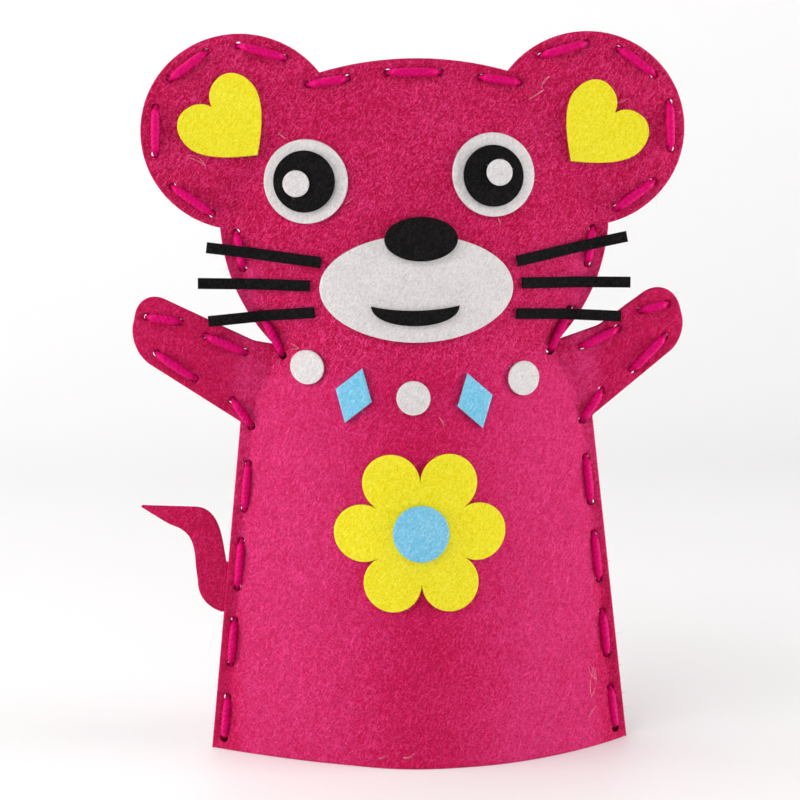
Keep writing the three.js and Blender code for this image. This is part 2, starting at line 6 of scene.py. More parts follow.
import bmesh
import bpy
import numpy as np
from mathutils import Matrix, Vector
from mathutils.geometry import delaunay_2d_cdt


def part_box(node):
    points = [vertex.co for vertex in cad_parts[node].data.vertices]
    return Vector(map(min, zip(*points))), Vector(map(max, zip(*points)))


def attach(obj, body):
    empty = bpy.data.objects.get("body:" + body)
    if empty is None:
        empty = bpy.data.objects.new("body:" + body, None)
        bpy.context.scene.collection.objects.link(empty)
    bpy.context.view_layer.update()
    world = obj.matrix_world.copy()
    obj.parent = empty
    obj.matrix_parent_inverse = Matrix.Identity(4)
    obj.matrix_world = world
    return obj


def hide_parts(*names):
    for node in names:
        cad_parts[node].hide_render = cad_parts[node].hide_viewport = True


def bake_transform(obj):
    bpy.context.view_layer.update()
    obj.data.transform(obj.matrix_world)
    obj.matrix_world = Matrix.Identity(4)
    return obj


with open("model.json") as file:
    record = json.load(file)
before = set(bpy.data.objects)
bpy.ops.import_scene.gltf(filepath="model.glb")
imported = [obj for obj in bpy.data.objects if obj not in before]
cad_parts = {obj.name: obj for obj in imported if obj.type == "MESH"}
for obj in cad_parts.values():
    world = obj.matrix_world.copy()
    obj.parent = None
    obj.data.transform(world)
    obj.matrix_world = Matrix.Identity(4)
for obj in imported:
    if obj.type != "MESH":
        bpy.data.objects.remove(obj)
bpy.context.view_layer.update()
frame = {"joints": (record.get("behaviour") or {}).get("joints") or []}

MM = 0.001
rng = np.random.default_rng(7)

# ---- places and sizes from the frame
joints = {j["name"]: j for j in frame["joints"]}


def node_box(name):
    low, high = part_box(name)
    return np.array(low) / MM, np.array(high) / MM


def box_centre(name):
    low, high = node_box(name)
    middle = (low + high) / 2
    return middle[0] - mid_x, middle[2]


def box_half(name):
    low, high = node_box(name)
    return (high[0] - low[0]) / 2, (high[2] - low[2]) / 2


mid_x = joints["head_nod"]["pos_m"][0] / MM
neck_z = joints["head_nod"]["pos_m"][2] / MM
shoulder_x = joints["arm_right_swing"]["pos_m"][0] / MM - mid_x
hem_half = box_half("torso_front")[0]
hinge_lean = joints["arm_left_swing"]["axis"]
ARM_ABOVE_ARMPIT = 0.61  # the CAD's arm panels start this far above the armpit
armpit_z = node_box("arm_right_front")[0][2] - ARM_ABOVE_ARMPIT
armpit_half = shoulder_x + (neck_z - armpit_z) * hinge_lean[0] / hinge_lean[2]
CAD_FLAT_FACE = 1.9  # depth of the CAD panels' outer face at the seam
hem_bulge = -node_box("torso_front")[0][1] - CAD_FLAT_FACE
ARMPIT, NOTCH = (armpit_half, armpit_z), (shoulder_x, neck_z)

FELT = 1.35  # thickness of the pink felt
TRIM = 1.05  # thickness of the trims' felt
GLUE = 0.12
SEAM_HALF = 0.03  # half the gap between the two panels along the seam
EDGE_ROUND = 0.38  # how far a cut edge is rounded off
TRIM_EDGE_ROUND = 0.28
HOLE_EDGE_SHARE = 0.55  # a hole's edge is rounded less than the outline
HOLE_R = 1.3
BACK_HOLE_R = 0.95
BACK_HOLE_STRAY = 0.34  # how far the back panel's holes miss the front ones
HOLE_SIDES = 14
HOLE_PRESS = 0.5  # how deep the felt is pressed in at a hole
HOLE_PRESS_AREA = 5.0
YARN_R = 1.4
YARN_SINK = 0.42  # how deep a stitch presses the felt in
YARN_SINK_HALF_WIDTH = 1.7
HOLE_SLANT = 0.42  # how far the yarn leans across a hole
STITCH_INSET = 3.9
RIPPLE = 0.35  # height of the long waves in the felt
SHARP_ANGLE = 62  # degrees; edges sharper than this aren't shaded smooth
CORNER = 0.01  # the radius of a corner that stays sharp
STEP = 0.9  # spacing of an outline's points
TRIM_STEP = 0.8
EAR_RADIUS = 33.2
EAR_X = 58.0
EAR_Z = neck_z + 70.9
EAR_HEIGHT = 0.976 * EAR_RADIUS
EAR_LOW, EAR_TOP = radians(-77), radians(143)
CHEEK_BOW = 3.8
HEAD_TOP_Z = neck_z + 94.8


def edge_at(z):
    return hem_half + (armpit_half - hem_half) * (z / armpit_z)


# ---- stitch holes
SIDE_SHARES = (0.031, 0.156, 0.261, 0.394, 0.496, 0.637, 0.735, 0.873, 0.986)
side_holes = [(edge_at(s * armpit_z) - STITCH_INSET, s * armpit_z) for s in SIDE_SHARES]
neck_hole = (shoulder_x - 3.2, neck_z - 3.8)
# Holes of the arms, from the shoulder, in sewing order.
LEFT_ARM_HOLES = (
    (14, -18.7), (26.6, -11.3), (39.3, -2.4), (42.2, 9.9), (31.2, 8.1), (22.5, 3.1), (9.5, -2.6),
)
RIGHT_ARM_HOLES = (
    (14.7, -17.7), (25.2, -10.7), (36.4, 0.6), (37.3, 11.7), (28.2, 9.5), (20.3, 3.5), (7.8, -2.5),
)
CHEEK_HOLES = ((0.24, 3.6), (0.65, 4.8), (0.95, 5.3))  # share of the cheek's length, distance from its edge
EAR_HOLE_ANGLES = (-70, -38.5, -14, 17.5, 38.5, 68, 90, 121)
HEAD_TOP_HOLES = ((35.2, 86.4), (22.3, 88.4), (8.6, 90.2))


def on_ear(angle, inset=0.0):
    return EAR_X + (EAR_RADIUS - inset) * cos(angle), EAR_Z + (EAR_HEIGHT - inset) * sin(angle)


def cheek_hole(share, inset):
    a, b = np.array(NOTCH), np.array(on_ear(EAR_LOW))
    run = b - a
    mid = a + run / 2 + np.array([run[1], -run[0]]) / np.linalg.norm(run) * 2 * CHEEK_BOW
    place = (1 - share) ** 2 * a + 2 * share * (1 - share) * mid + share ** 2 * b
    along = (1 - share) * (mid - a) + share * (b - mid)
    inward = np.array([-along[1], along[0]]) / np.linalg.norm(along)
    return tuple(place + inward * inset)


HEAD_HOLES = [cheek_hole(share, inset) for share, inset in CHEEK_HOLES]
HEAD_HOLES += [on_ear(radians(angle), STITCH_INSET) for angle in EAR_HOLE_ANGLES]
HEAD_HOLES += [(x, neck_z + dz) for x, dz in HEAD_TOP_HOLES]


def flip(points, side):
    return [(side * x, z) for x, z in points]


# ---- the shape of the body
def smooth_through(stations, z):
    """A smooth curve through (z, value) stations."""
    zs, vs = np.array(stations, float).T
    slopes = np.gradient(vs, zs)
    z = np.clip(z, zs[0], zs[-1])
    i = np.clip(np.searchsorted(zs, z) - 1, 0, len(zs) - 2)
    step = zs[i + 1] - zs[i]
    t = (z - zs[i]) / step
    h = t * t * (3 - 2 * t)
    rise = t * (1 - t) ** 2 * slopes[i] - t * t * (1 - t) * slopes[i + 1]
    return vs[i] * (1 - h) + vs[i + 1] * h + step * rise


# Half width of the bowed part of a panel at each height, and how far it bows out in the middle.
CREASE = (
    (0, hem_half - 0.9),
    (7, edge_at(7) - 3.0),
    (18, edge_at(18) - 4.3),
    (armpit_z / 2, edge_at(armpit_z / 2) - 4.5),
    (armpit_z - 8, edge_at(armpit_z - 8) - 4.5),
    (armpit_z + 4, armpit_half - 4.6),
    (neck_z - 13, shoulder_x + 2.5),
    (neck_z - 5, shoulder_x - 1.4),
    (neck_z, shoulder_x - 3.2),
    (neck_z + 4, shoulder_x - 1.5),
    (neck_z + 9.8, 52.3),
    (neck_z + 24.3, 58.4),
    (neck_z + 36.3, 60.2),
    (neck_z + 51, 57.5),
    (neck_z + 70, 46),
    (neck_z + 86, 33),
    (neck_z + 95, 26),
)
CROWN = (
    (0, hem_bulge - 1.6),
    (armpit_z / 2, 28.0),
    (neck_z - 13, 21.0),
    (neck_z, 18.5),
    (neck_z + 18.7, 15.0),
    (neck_z + 54.5, 8.6),
    (neck_z + 74, 3.6),
    (neck_z + 88, 0.5),
    (neck_z + 95, 0.0),
)
HEM_SAG = 85  # up to here the body is a little flatter on its left
LEFT_CURVE, RIGHT_CURVE = 1.5, 2.12  # how round the hem is on each side: 2 is a parabola
SIDE_BLEND = 24  # the left curve goes over into the right one within this distance of the middle
TAIL_ROOT_SHARE = 0.496  # height of the tail's root, as a share of the armpit's
TAIL_ROOT = TAIL_ROOT_SHARE * armpit_z
TAIL_PUSH = 0.62  # how far the tail's root pushes each panel away


def bulge(x, z):
    """How far a panel stands away from the seam plane."""
    u = np.abs(x) / smooth_through(CREASE, z)
    crown = np.maximum(smooth_through(CROWN, z), 0)
    sag = np.clip(1 - z / HEM_SAG, 0, 1)
    share = np.clip(x / SIDE_BLEND, -1, 1) * 0.5 + 0.5
    curve = 2 + sag * ((LEFT_CURVE - 2) * (1 - share) + (RIGHT_CURVE - 2) * share)
    return crown * np.clip(1 - u ** curve, 0, 1)


def slant(x, z):
    """How much thicker sloping felt is than flat felt, measured straight back."""
    d = 0.4
    across = (bulge(x + d, z) - bulge(x - d, z)) / (2 * d)
    up = (bulge(x, z + d) - bulge(x, z - d)) / (2 * d)
    return np.sqrt(1 + across ** 2 + up ** 2)


def tail_bump(x, z):
    """Where the tail's root holds the two panels apart, in the left seam."""
    near = np.exp(-(((z - TAIL_ROOT) / 10.5) ** 4)) * np.exp(-(((x + edge_at(TAIL_ROOT)) / 6.5) ** 2))
    return TAIL_PUSH * near


WAVES = [(rng.uniform(0.03, 0.12, 2) * rng.choice([-1, 1], 2), rng.uniform(0, 6.3)) for _ in range(7)]


def ripple(x, z, phase=0.0):
    """Slight unevenness of the felt: a few long waves."""
    total = np.zeros(np.shape(x))
    for (kx, kz), shift in WAVES:
        total = total + np.sin(kx * x + kz * z + shift + phase)
    return total / len(WAVES)


def segment_distance(x, z, a, b):
    d = np.subtract(b, a)
    t = np.clip(((x - a[0]) * d[0] + (z - a[1]) * d[1]) / (d @ d), 0, 1)
    return np.hypot(x - a[0] - t * d[0], z - a[1] - t * d[1])


def pressed(x, z, holes, stitches):
    """How far the yarn presses the felt in, at the holes and under each stitch."""
    depth = np.zeros(np.shape(x))
    for hx, hz in holes:
        depth = np.maximum(depth, HOLE_PRESS * np.exp(-(((x - hx) ** 2 + (z - hz) ** 2) / HOLE_PRESS_AREA)))
    for a, b in stitches:
        away = segment_distance(x, z, a, b) / YARN_SINK_HALF_WIDTH
        depth = np.maximum(depth, YARN_SINK * np.exp(-(away ** 2)))
    return depth


def panel_depths(side, holes, stitches):
    """Depths of a panel's inner and outer face, away from the seam plane."""

    def depths(x, z):
        soft = np.clip(bulge(x, z) / 4, 0, 1)
        inner = SEAM_HALF + bulge(x, z) + tail_bump(x, z) + RIPPLE * soft * ripple(x, z, side)
        outer = inner + FELT * slant(x, z) - pressed(x, z, holes, stitches)
        return inner, outer

    return depths


def front_face(x, z):
    return panel_depths(-1, (), ())(x, z)[1]


# ---- outlines
def arc(cx, cz, r, a0, a1, step=STEP, tall=1.0):
    n = max(3, int(abs(a1 - a0) * r / step))
    angles = np.linspace(a0, a1, n + 1)
    return [(cx + r * cos(a), cz + r * tall * sin(a)) for a in angles]


def bezier(p0, p1, p2, p3, step=STEP):
    p0, p1, p2, p3 = corners = np.array((p0, p1, p2, p3), float)
    n = max(3, int(np.linalg.norm(np.diff(corners, axis=0), axis=1).sum() / step))
    t = np.linspace(0, 1, n + 1)[:, None]
    line = (1 - t) ** 3 * p0 + 3 * t * (1 - t) ** 2 * p1 + 3 * t * t * (1 - t) * p2 + t ** 3 * p3
    return [tuple(p) for p in line]


def bowed(a, b, bow):
    """From a to b, standing off the straight line by bow."""
    a, b = np.array(a, float), np.array(b, float)
    run = b - a
    off = np.array([run[1], -run[0]]) / np.linalg.norm(run) * bow * 4 / 3
    return bezier(a, a + run / 3 + off, b - run / 3 + off, b)


def straight(a, b, step=STEP):
    n = max(1, int(dist(a, b) / step))
    return [(a[0] + (b[0] - a[0]) * i / n, a[1] + (b[1] - a[1]) * i / n) for i in range(n + 1)]


def joined(*runs):
    """One list of points from runs that meet end to start."""
    out = []
    for run in runs:
        for p in run:
            if not out or dist(out[-1], p) > 0.05:
                out.append(tuple(p))
    if dist(out[0], out[-1]) < 0.05:
        out.pop()
    return out


def rounded(corners):
    """A closed outline with its corners rounded: corners are (x, z, radius)."""
    runs = []
    n = len(corners)
    for i in range(n):
        here = np.array(corners[i][:2], float)
        before = np.array(corners[i - 1][:2], float) - here
        after = np.array(corners[(i + 1) % n][:2], float) - here
        before, after = before / np.linalg.norm(before), after / np.linalg.norm(after)
        half = acos(np.clip(before @ after, -1, 1)) / 2
        cut = corners[i][2] / tan(half)
        start, end = here + before * cut, here + after * cut
        if runs:
            runs.append(straight(runs[-1][-1], start))
        weight = 0.55
        runs.append(bezier(start, start - before * cut * weight, end - after * cut * weight, end))
    runs.append(straight(runs[-1][-1], runs[0][0]))
    return joined(*runs)


def arm_fold():
    """The fold at the root of the right arm, from the armpit up to the neck notch."""
    bend = (armpit_half - 6.8, armpit_z + 6.5)
    return joined(
        bezier(ARMPIT, (armpit_half - 2.8, armpit_z + 0.9), (bend[0] + 1.5, armpit_z + 1.4), bend),
        bezier(bend, (bend[0] - 1.6, neck_z - 12), (shoulder_x - 2.6, neck_z - 6), NOTCH),
    )


def on_fold(outline):
    """Which points of an outline lie on an arm's fold, where panels join without an edge."""
    fold = {(round(x, 4), round(z, 4)) for x, z in arm_fold()}
    return [(round(abs(x), 4), round(z, 4)) in fold for x, z in outline]


def body_outline():
    """Torso and head in one piece, without the arms."""
    ear_top_point = on_ear(EAR_TOP)
    side = straight((hem_half, 0), ARMPIT)
    cheek = bowed(NOTCH, on_ear(EAR_LOW), CHEEK_BOW)
    ear = arc(EAR_X, EAR_Z, EAR_RADIUS, EAR_LOW, EAR_TOP, tall=EAR_HEIGHT / EAR_RADIUS)
    crown = bowed(ear_top_point, (0, HEAD_TOP_Z), (HEAD_TOP_Z - ear_top_point[1]) * 0.25)
    half = joined(side, arm_fold(), cheek, ear, crown)
    hem = straight((-hem_half, 0), (hem_half, 0))
    return joined(hem, half, flip(half[::-1], -1))


# Heel of the paw, top of the paw and bend above the arm: x and z from the shoulder, and the radius.
LEFT_ARM = ((48.8, -1.4, 13), (44.2, 19.6, 7), (6.5, 1.2, 8))
RIGHT_ARM = ((44.2, 0.2, 12), (38.6, 22.4, 8.4), (13.7, 4.6, 8))


def nearest(shape, place):
    return int(np.argmin([dist(p, place) for p in shape]))


def arm_outline(arm, side):
    corners = [(shoulder_x + dx, neck_z + dz, radius) for dx, dz, radius in arm]
    shape = rounded([(*ARMPIT, CORNER), *corners, (*NOTCH, CORNER)])
    first = nearest(shape, ARMPIT)
    shape = shape[first:] + shape[:first]
    fold = arm_fold()
    return flip(joined([fold[0]], shape[1:nearest(shape, NOTCH)], fold[::-1]), side)


# ---- felt: a flat cut shape given thickness along a surface
def unit(rows):
    return rows / np.maximum(np.linalg.norm(rows, axis=1), 1e-9)[:, None]


def gap_to(ring, places):
    """Distance from each place to the nearest of a ring's points."""
    return np.array([sqrt(((ring - p) ** 2).sum(1).min()) for p in places])


def triangulate(outline, holes, coarse, fine, band, hole_r):
    """Triangles of a cut shape: fine near its edge and holes, coarse inside."""
    rim = np.array(outline, float)
    loops = [list(range(len(outline)))]
    points = [tuple(p) for p in outline]
    for hx, hz in holes:
        loops.append(list(range(len(points), len(points) + HOLE_SIDES)))
        angles = np.arange(HOLE_SIDES) * pi / (HOLE_SIDES / 2)
        points += [(hx + hole_r * cos(a), hz + hole_r * sin(a)) for a in angles]
    fixed = np.array(points)
    low, high = rim.min(0), rim.max(0)

    def grid(step):
        rows = []
        for k, z in enumerate(np.arange(low[1], high[1], step * 0.866)):
            xs = np.arange(low[0] + (k % 2) * step / 2, high[0], step)
            rows.append(np.stack([xs, np.full(len(xs), z)], 1))
        return np.concatenate(rows)

    fine_grid, coarse_grid = grid(fine), grid(coarse)
    fine_gap, coarse_gap = gap_to(fixed, fine_grid), gap_to(fixed, coarse_grid)
    extra = np.concatenate([
        fine_grid[(fine_gap > 0.62 * fine) & (fine_gap < band)],
        coarse_grid[coarse_gap >= band + coarse * 0.4],
    ])
    points += [tuple(p) for p in extra]
    edges = [(loop[i], loop[(i + 1) % len(loop)]) for loop in loops for i in range(len(loop))]
    verts, _, faces, origin, _, _ = delaunay_2d_cdt([Vector(p) for p in points], edges, [], 1, 1e-5)
    where = {point: new for new, old in enumerate(origin) for point in old}
    flat = np.array([tuple(v) for v in verts])
    tris = np.array(faces)
    centres = flat[tris].mean(1)
    keep = np.ones(len(tris), bool)
    for hx, hz in holes:
        keep &= np.hypot(centres[:, 0] - hx, centres[:, 1] - hz) > hole_r * 0.95
    return flat, tris[keep], [[where[i] for i in loop] for loop in loops]


ROUND_RINGS = ((0.34, 0.86), (0.0, 0.5), (0.34, 0.14))  # share of the rounding, share of the thickness


def twice_area(ring):
    """Twice the area inside a closed ring, negative where it runs clockwise."""
    x, z = ring.T
    return np.sum(x * np.roll(z, -1) - np.roll(x, -1) * z)


def ring_ways(ring):
    """Unit steps along a closed ring and out of it, at each of its points."""
    run = unit(np.roll(ring, -1, 0) - np.roll(ring, 1, 0))
    return run, np.stack([run[:, 1], -run[:, 0]], 1) * (1 if twice_area(ring) > 0 else -1)


def felt_slab(
    outline, depths, side, coarse, flags=None, holes=(), fine=1.1, band=8.0, edge=EDGE_ROUND, hole_r=HOLE_R,
):
    """Closed mesh of a cut felt piece, whose two faces are where depths(x, z) says."""
    flat, tris, loops = triangulate(outline, holes, coarse, fine, band, hole_r)
    count = len(flat)
    inset = np.zeros((count, 2))
    for k, loop in enumerate(loops):
        scale = np.full(len(loop), -edge if k == 0 else edge * HOLE_EDGE_SHARE)
        if k == 0 and flags is not None:
            scale[np.array(flags)] = 0
        inset[loop] = ring_ways(flat[loop])[1] * scale[:, None]

    def placed(xz, level):
        inner, outer = depths(xz[:, 0], xz[:, 1])
        return np.stack([xz[:, 0], side * (inner + (outer - inner) * level), xz[:, 1]], 1)

    points = [placed(flat + inset, 1.0), placed(flat + inset, 0.0)]
    faces = [tuple(t) for t in tris] + [tuple(t[::-1] + count) for t in tris]
    total = 2 * count
    for loop in loops:
        rings = [list(loop)]
        for share, level in ROUND_RINGS:
            points.append(placed(flat[loop] + inset[loop] * share, level))
            rings.append(list(range(total, total + len(loop))))
            total += len(loop)
        rings.append([i + count for i in loop])
        for upper, lower in zip(rings, rings[1:]):
            for i in range(len(loop)):
                j = (i + 1) % len(loop)
                faces.append((upper[i], lower[i], lower[j], upper[j]))
    return np.concatenate(points), faces


def tube_faces(rings, around):
    """Faces of a tube made of rings of points, closed at both ends."""
    faces = []
    for i in range(rings - 1):
        for k in range(around):
            a, b = i * around + k, i * around + (k + 1) % around
            faces.append((a, b, b + around, a + around))
    faces.append(tuple(range(around))[::-1])
    faces.append(tuple(range((rings - 1) * around, rings * around)))
    return faces


def fibre(path, radius, sides=3):
    """A closed thin tube along a short path."""
    path = np.array(path, float)
    run = unit(np.gradient(path, axis=0))
    across = unit(np.cross(run, (0.3, 0.2, 0.93)))
    up = np.cross(run, across)
    taper = np.linspace(1, 0.45, len(path))
    points = []
    for k in range(sides):
        a = 2 * pi * k / sides
        points.append(path + (across * cos(a) + up * sin(a)) * (radius * taper)[:, None])
    return np.stack(points, 1).reshape(-1, 3), tube_faces(len(path), sides)


def gathered(parts):
    """One mesh out of several, each given as (points, faces)."""
    points, faces, total = [], [], 0
    for part_points, part_faces in parts:
        points.append(part_points)
        faces += [tuple(v + total for v in face) for face in part_faces]
        total += len(part_points)
    return np.concatenate(points), faces


def with_fuzz(slab, outline, depths, side, per_mm, length, radius=0.035, flags=None):
    """The slab with short loose fibres standing out of its cut edge."""
    ring = np.array(outline)
    run, outward = ring_ways(ring)
    gaps = np.linalg.norm(np.roll(ring, -1, 0) - ring, axis=1)
    parts = [slab]
    for i in rng.choice(len(ring), int(gaps.sum() * per_mm), p=gaps / gaps.sum()):
        if flags is not None and flags[i]:
            continue
        spin = rng.normal(0, 0.6)
        way = outward[i] * cos(spin) + run[i] * sin(spin)
        reach = rng.gamma(2.2, length / 2.2)
        level = rng.uniform(0.15, 0.95)
        start = ring[i] - outward[i] * 0.2
        if start[1] < reach + 1:
            continue
        inner, outer = depths(start[0], start[1])
        y = side * float(inner + (outer - inner) * level)
        bend = rng.normal(0, 0.5, 2) * reach
        rise = rng.normal(0, 0.35) * reach
        steps = np.linspace(0, 1, 4)[:, None]
        flat = start + way * reach * steps + bend * steps ** 2
        line = np.stack([flat[:, 0], y + rise * steps[:, 0], flat[:, 1]], 1)
        parts.append(fibre(line, radius))
    return gathered(parts)


def new_object(name, data):
    thing = bpy.data.objects.new(name, data)
    bpy.context.scene.collection.objects.link(thing)
    return thing


def smooth_mesh(name, points, faces, material):
    mesh = bpy.data.meshes.new(name)
    mesh.from_pydata(points, [], faces)
    mesh.polygons.foreach_set("use_smooth", [True] * len(mesh.polygons))
    mesh.materials.append(material)
    return mesh


def mesh_piece(name, points, faces, look, slot=None):
    """A piece with a look, in the material slot of that name; the slot argument is not used."""
    world = (points + np.array([mid_x, 0, 0])) * MM
    faces = [tuple(int(i) for i in face) for face in faces]
    mesh = smooth_mesh(name, [tuple(p) for p in world], faces, LOOKS[look])
    tidy = bmesh.new()
    tidy.from_mesh(mesh)
    bmesh.ops.recalc_face_normals(tidy, faces=tidy.faces)
    tidy.to_mesh(mesh)
    tidy.free()
    mesh.set_sharp_from_angle(angle=radians(SHARP_ANGLE))
    mesh.update()
    piece = new_object(name, mesh)
    return piece


# ---- materials
def linear(*rgb):
    """A colour given as sRGB values up to 255."""
    shares = [v / 255 for v in rgb]
    return (*[v / 12.92 if v <= 0.04045 else ((v + 0.055) / 1.055) ** 2.4 for v in shares], 1.0)


def set_inputs(node, values):
    for key, value in values.items():
        node.inputs[key].default_value = value


class Nodes:
    """Short calls for building a node material."""

    def __init__(self, name):
        self.material = bpy.data.materials.new(name)
        self.material.use_nodes = True
        self.tree = self.material.node_tree
        self.shader = self.tree.nodes["Principled BSDF"]
        self.coords = self.add("ShaderNodeTexCoord").outputs["Object"]

    def add(self, kind, inputs=None, **values):
        node = self.tree.nodes.new(kind)
        for key, value in values.items():
            setattr(node, key, value)
        set_inputs(node, inputs or {})
        return node

    def link(self, a, b):
        self.tree.links.new(a, b)

    def math(self, operation, a, b=None):
        node = self.add("ShaderNodeMath", operation=operation)
        for socket, value in zip(node.inputs, (a, b)):
            if isinstance(value, (int, float)):
                socket.default_value = value
            elif value is not None:
                self.link(value, socket)
        return node.outputs[0]

    def times(self, a, b):
        return self.math("MULTIPLY", a, b)

    def total(self, first, *others):
        for other in others:
            first = self.math("ADD", first, other)
        return first

    def about(self, value, centre, gain):
        """How far a value is from its centre, times a gain."""
        return self.times(self.math("SUBTRACT", value, centre), gain)

    def fade(self, value, start, end):
        """Goes softly from 0 at one value to 1 at another."""
        inputs = {"From Min": start, "From Max": end}
        node = self.add("ShaderNodeMapRange", inputs, interpolation_type="SMOOTHSTEP")
        self.link(value, node.inputs["Value"])
        return node.outputs["Result"]

    def mapped(self, vector, inputs, kind="POINT"):
        node = self.add("ShaderNodeMapping", inputs, vector_type=kind)
        self.link(vector, node.inputs["Vector"])
        return node.outputs["Vector"]

    def in_mm(self, shift=(0, 0, 0)):
        """The object's own coordinates in mm."""
        return self.mapped(self.coords, {"Scale": (1 / MM, 1 / MM, 1 / MM), "Location": shift})

    def turned(self, vector, angle, cell):
        """Coordinates along and across strands at an angle, in units of a cell."""
        return self.mapped(vector, {"Rotation": (0, radians(-angle), 0), "Scale": cell}, "TEXTURE")

    def noise(self, vector, scale, detail=2.0, roughness=0.5, distortion=0.0):
        inputs = {"Scale": scale, "Detail": detail, "Roughness": roughness, "Distortion": distortion}
        node = self.add("ShaderNodeTexNoise", inputs)
        self.link(vector, node.inputs["Vector"])
        return node.outputs["Fac"]

    def strands(self, mm, angle, cell):
        """Thin wandering lines, 1 along each line and 0 between them."""
        value = self.noise(self.turned(mm, angle, cell), 1.0, 1.0, 0.5, 0.35)
        off = self.math("ABSOLUTE", self.math("SUBTRACT", value, 0.5))
        return self.math("MAXIMUM", self.math("SUBTRACT", 1.0, self.times(off, STRAND_THIN)), 0.0)

    def ramp(self, value, *stops):
        node = self.add("ShaderNodeValToRGB")
        band = node.color_ramp
        while len(band.elements) < len(stops):
            band.elements.new(0.5)
        for element, (place, colour) in zip(band.elements, stops):
            element.position = place
            element.color = colour
        self.link(value, node.inputs["Fac"])
        return node.outputs["Color"]

    def colour(self, value, *stops):
        self.link(self.ramp(value, *stops), self.shader.inputs["Base Color"])

    def bump(self, height, strength, deep):
        """Relief from a height between 0 and 1, where 1 is this many mm deep."""
        node = self.add("ShaderNodeBump", {"Strength": strength, "Distance": deep * MM})
        self.link(height, node.inputs["Height"])
        self.link(node.outputs["Normal"], self.shader.inputs["Normal"])

    def rough(self, grain, gain, least):
        self.link(self.total(self.times(grain, gain), least), self.shader.inputs["Roughness"])


# Directions of the felt's strands in degrees, with their length and width.
STRANDS = ((60, 4.6, 0.62), (36, 3.6, 0.55), (-50, 3.8, 0.6), (80, 5.0, 0.7), (-12, 3.2, 0.6))
STRAND_DEPTH, STRAND_THIN = 3.0, 24.0


def felt_material(
    name, dark, middle, light, sheen, relief, seed, lines=0.3, tint=None, painted_flank_light=0.0,
):
    """Pressed wool felt: tangled short fibres over a fine grain, with faint clouds."""
    n = Nodes(name)
    dark, middle, light = linear(*dark), linear(*middle), linear(*light)
    mm = n.in_mm((seed, seed * 0.7, seed * 1.3))
    web = None
    for angle, length, width in STRANDS:
        line = n.strands(mm, angle, (length, STRAND_DEPTH, width))
        web = line if web is None else n.math("MAXIMUM", web, line)
    grain = n.noise(n.turned(mm, 50, (0.8, 0.5, 0.38)), 1.0, 2.0, 0.7)
    tufts = n.noise(n.turned(mm, 48, (1.9, 1.5, 0.8)), 1.0, 2.0, 0.6)
    cloud = n.noise(mm, 0.04, 2.0, 0.5)
    tone = n.total(
        n.about(grain, 0.5, 0.8), n.about(tufts, 0.5, 0.38), n.about(cloud, 0.5, 0.16),
        n.about(web, 0.33, lines),
    )
    # painted light and shade: the flanks of the bowed body are painted paler and the head darker, as the
    # lamps fall on them
    if painted_flank_light:
        tone = head_grain_and_painted_light(n, tone, painted_flank_light)
    n.colour(n.total(tone, 0.5), (0.22, dark), (0.5, middle), (0.88, light))
    n.bump(n.total(n.times(web, 0.7), n.times(grain, 1.0), n.times(tufts, 0.6)), relief, 0.35)
    n.rough(grain, 0.12, 0.86)
    set_inputs(n.shader, {"Specular IOR Level": 0.06, "Sheen Weight": sheen, "Sheen Roughness": 0.6})
    set_inputs(n.shader, {"Sheen Tint": tint or light})
    return n.material


def head_grain_and_painted_light(n, tone, painted_light_gain):
    """The felt is brushed rougher on the head. Painted light and shade: below the neck the flanks, lit by
    the side lamps, are painted paler, and the head is painted darker.
    """
    place = n.add("ShaderNodeSeparateXYZ")
    n.link(n.coords, place.inputs["Vector"])
    across, up = place.outputs["X"], place.outputs["Z"]
    off = n.math("ABSOLUTE", n.math("SUBTRACT", across, mid_x * MM))
    low = n.fade(up, (neck_z + 3) * MM, (neck_z - 14) * MM)
    arms = n.fade(off, (shoulder_x + 1) * MM, (shoulder_x + 8) * MM)
    arms = n.times(arms, n.fade(up, (neck_z + 34) * MM, (neck_z + 26) * MM))
    low = n.math("MAXIMUM", low, arms)
    # painted light: a mask of the flanks, where the side lamps fall
    sides = n.times(n.fade(off, 0, 0.8 * shoulder_x * MM), n.fade(off, 66 * MM, 58 * MM))
    tone = n.times(tone, n.math("SUBTRACT", 1.35, n.times(low, 0.6)))
    tone = n.total(tone, n.times(n.times(low, sides), painted_light_gain), n.times(low, painted_light_gain * 0.4))
    # painted shade: everything is darkened by this, so the head, which gets no painted flank light, ends up
    # darker
    return n.math("SUBTRACT", tone, painted_light_gain * 0.5)


def yarn_material(name):
    """Glossy synthetic yarn: fine filaments along the twist and a soft shine."""
    n = Nodes(name)
    mm = n.in_mm()
    threads = n.noise(n.turned(mm, 50, (2.5, 0.6, 0.35)), 1.0, 2.0, 0.6)
    grain = n.noise(mm, 2.6, 2.0, 0.5)
    tone = n.total(n.times(threads, 0.7), n.times(grain, 0.3))
    n.colour(tone, (0.3, linear(158, 0, 70)), (0.52, linear(202, 0, 98)), (0.78, linear(236, 18, 132)))
    n.bump(threads, 0.35, 0.12)
    n.rough(grain, 0.15, 0.42)
    set_inputs(n.shader, {"Specular IOR Level": 0.3, "Specular Tint": linear(255, 120, 190)})
    return n.material


def hair_material(name, root, tip):
    """Single wool fibres, a little lighter in places."""
    n = Nodes(name)
    n.colour(n.noise(n.coords, 260.0), (0.35, root), (0.65, tip))
    set_inputs(n.shader, {"Roughness": 0.6, "Sheen Weight": 0.3, "Sheen Tint": tip})
    return n.material
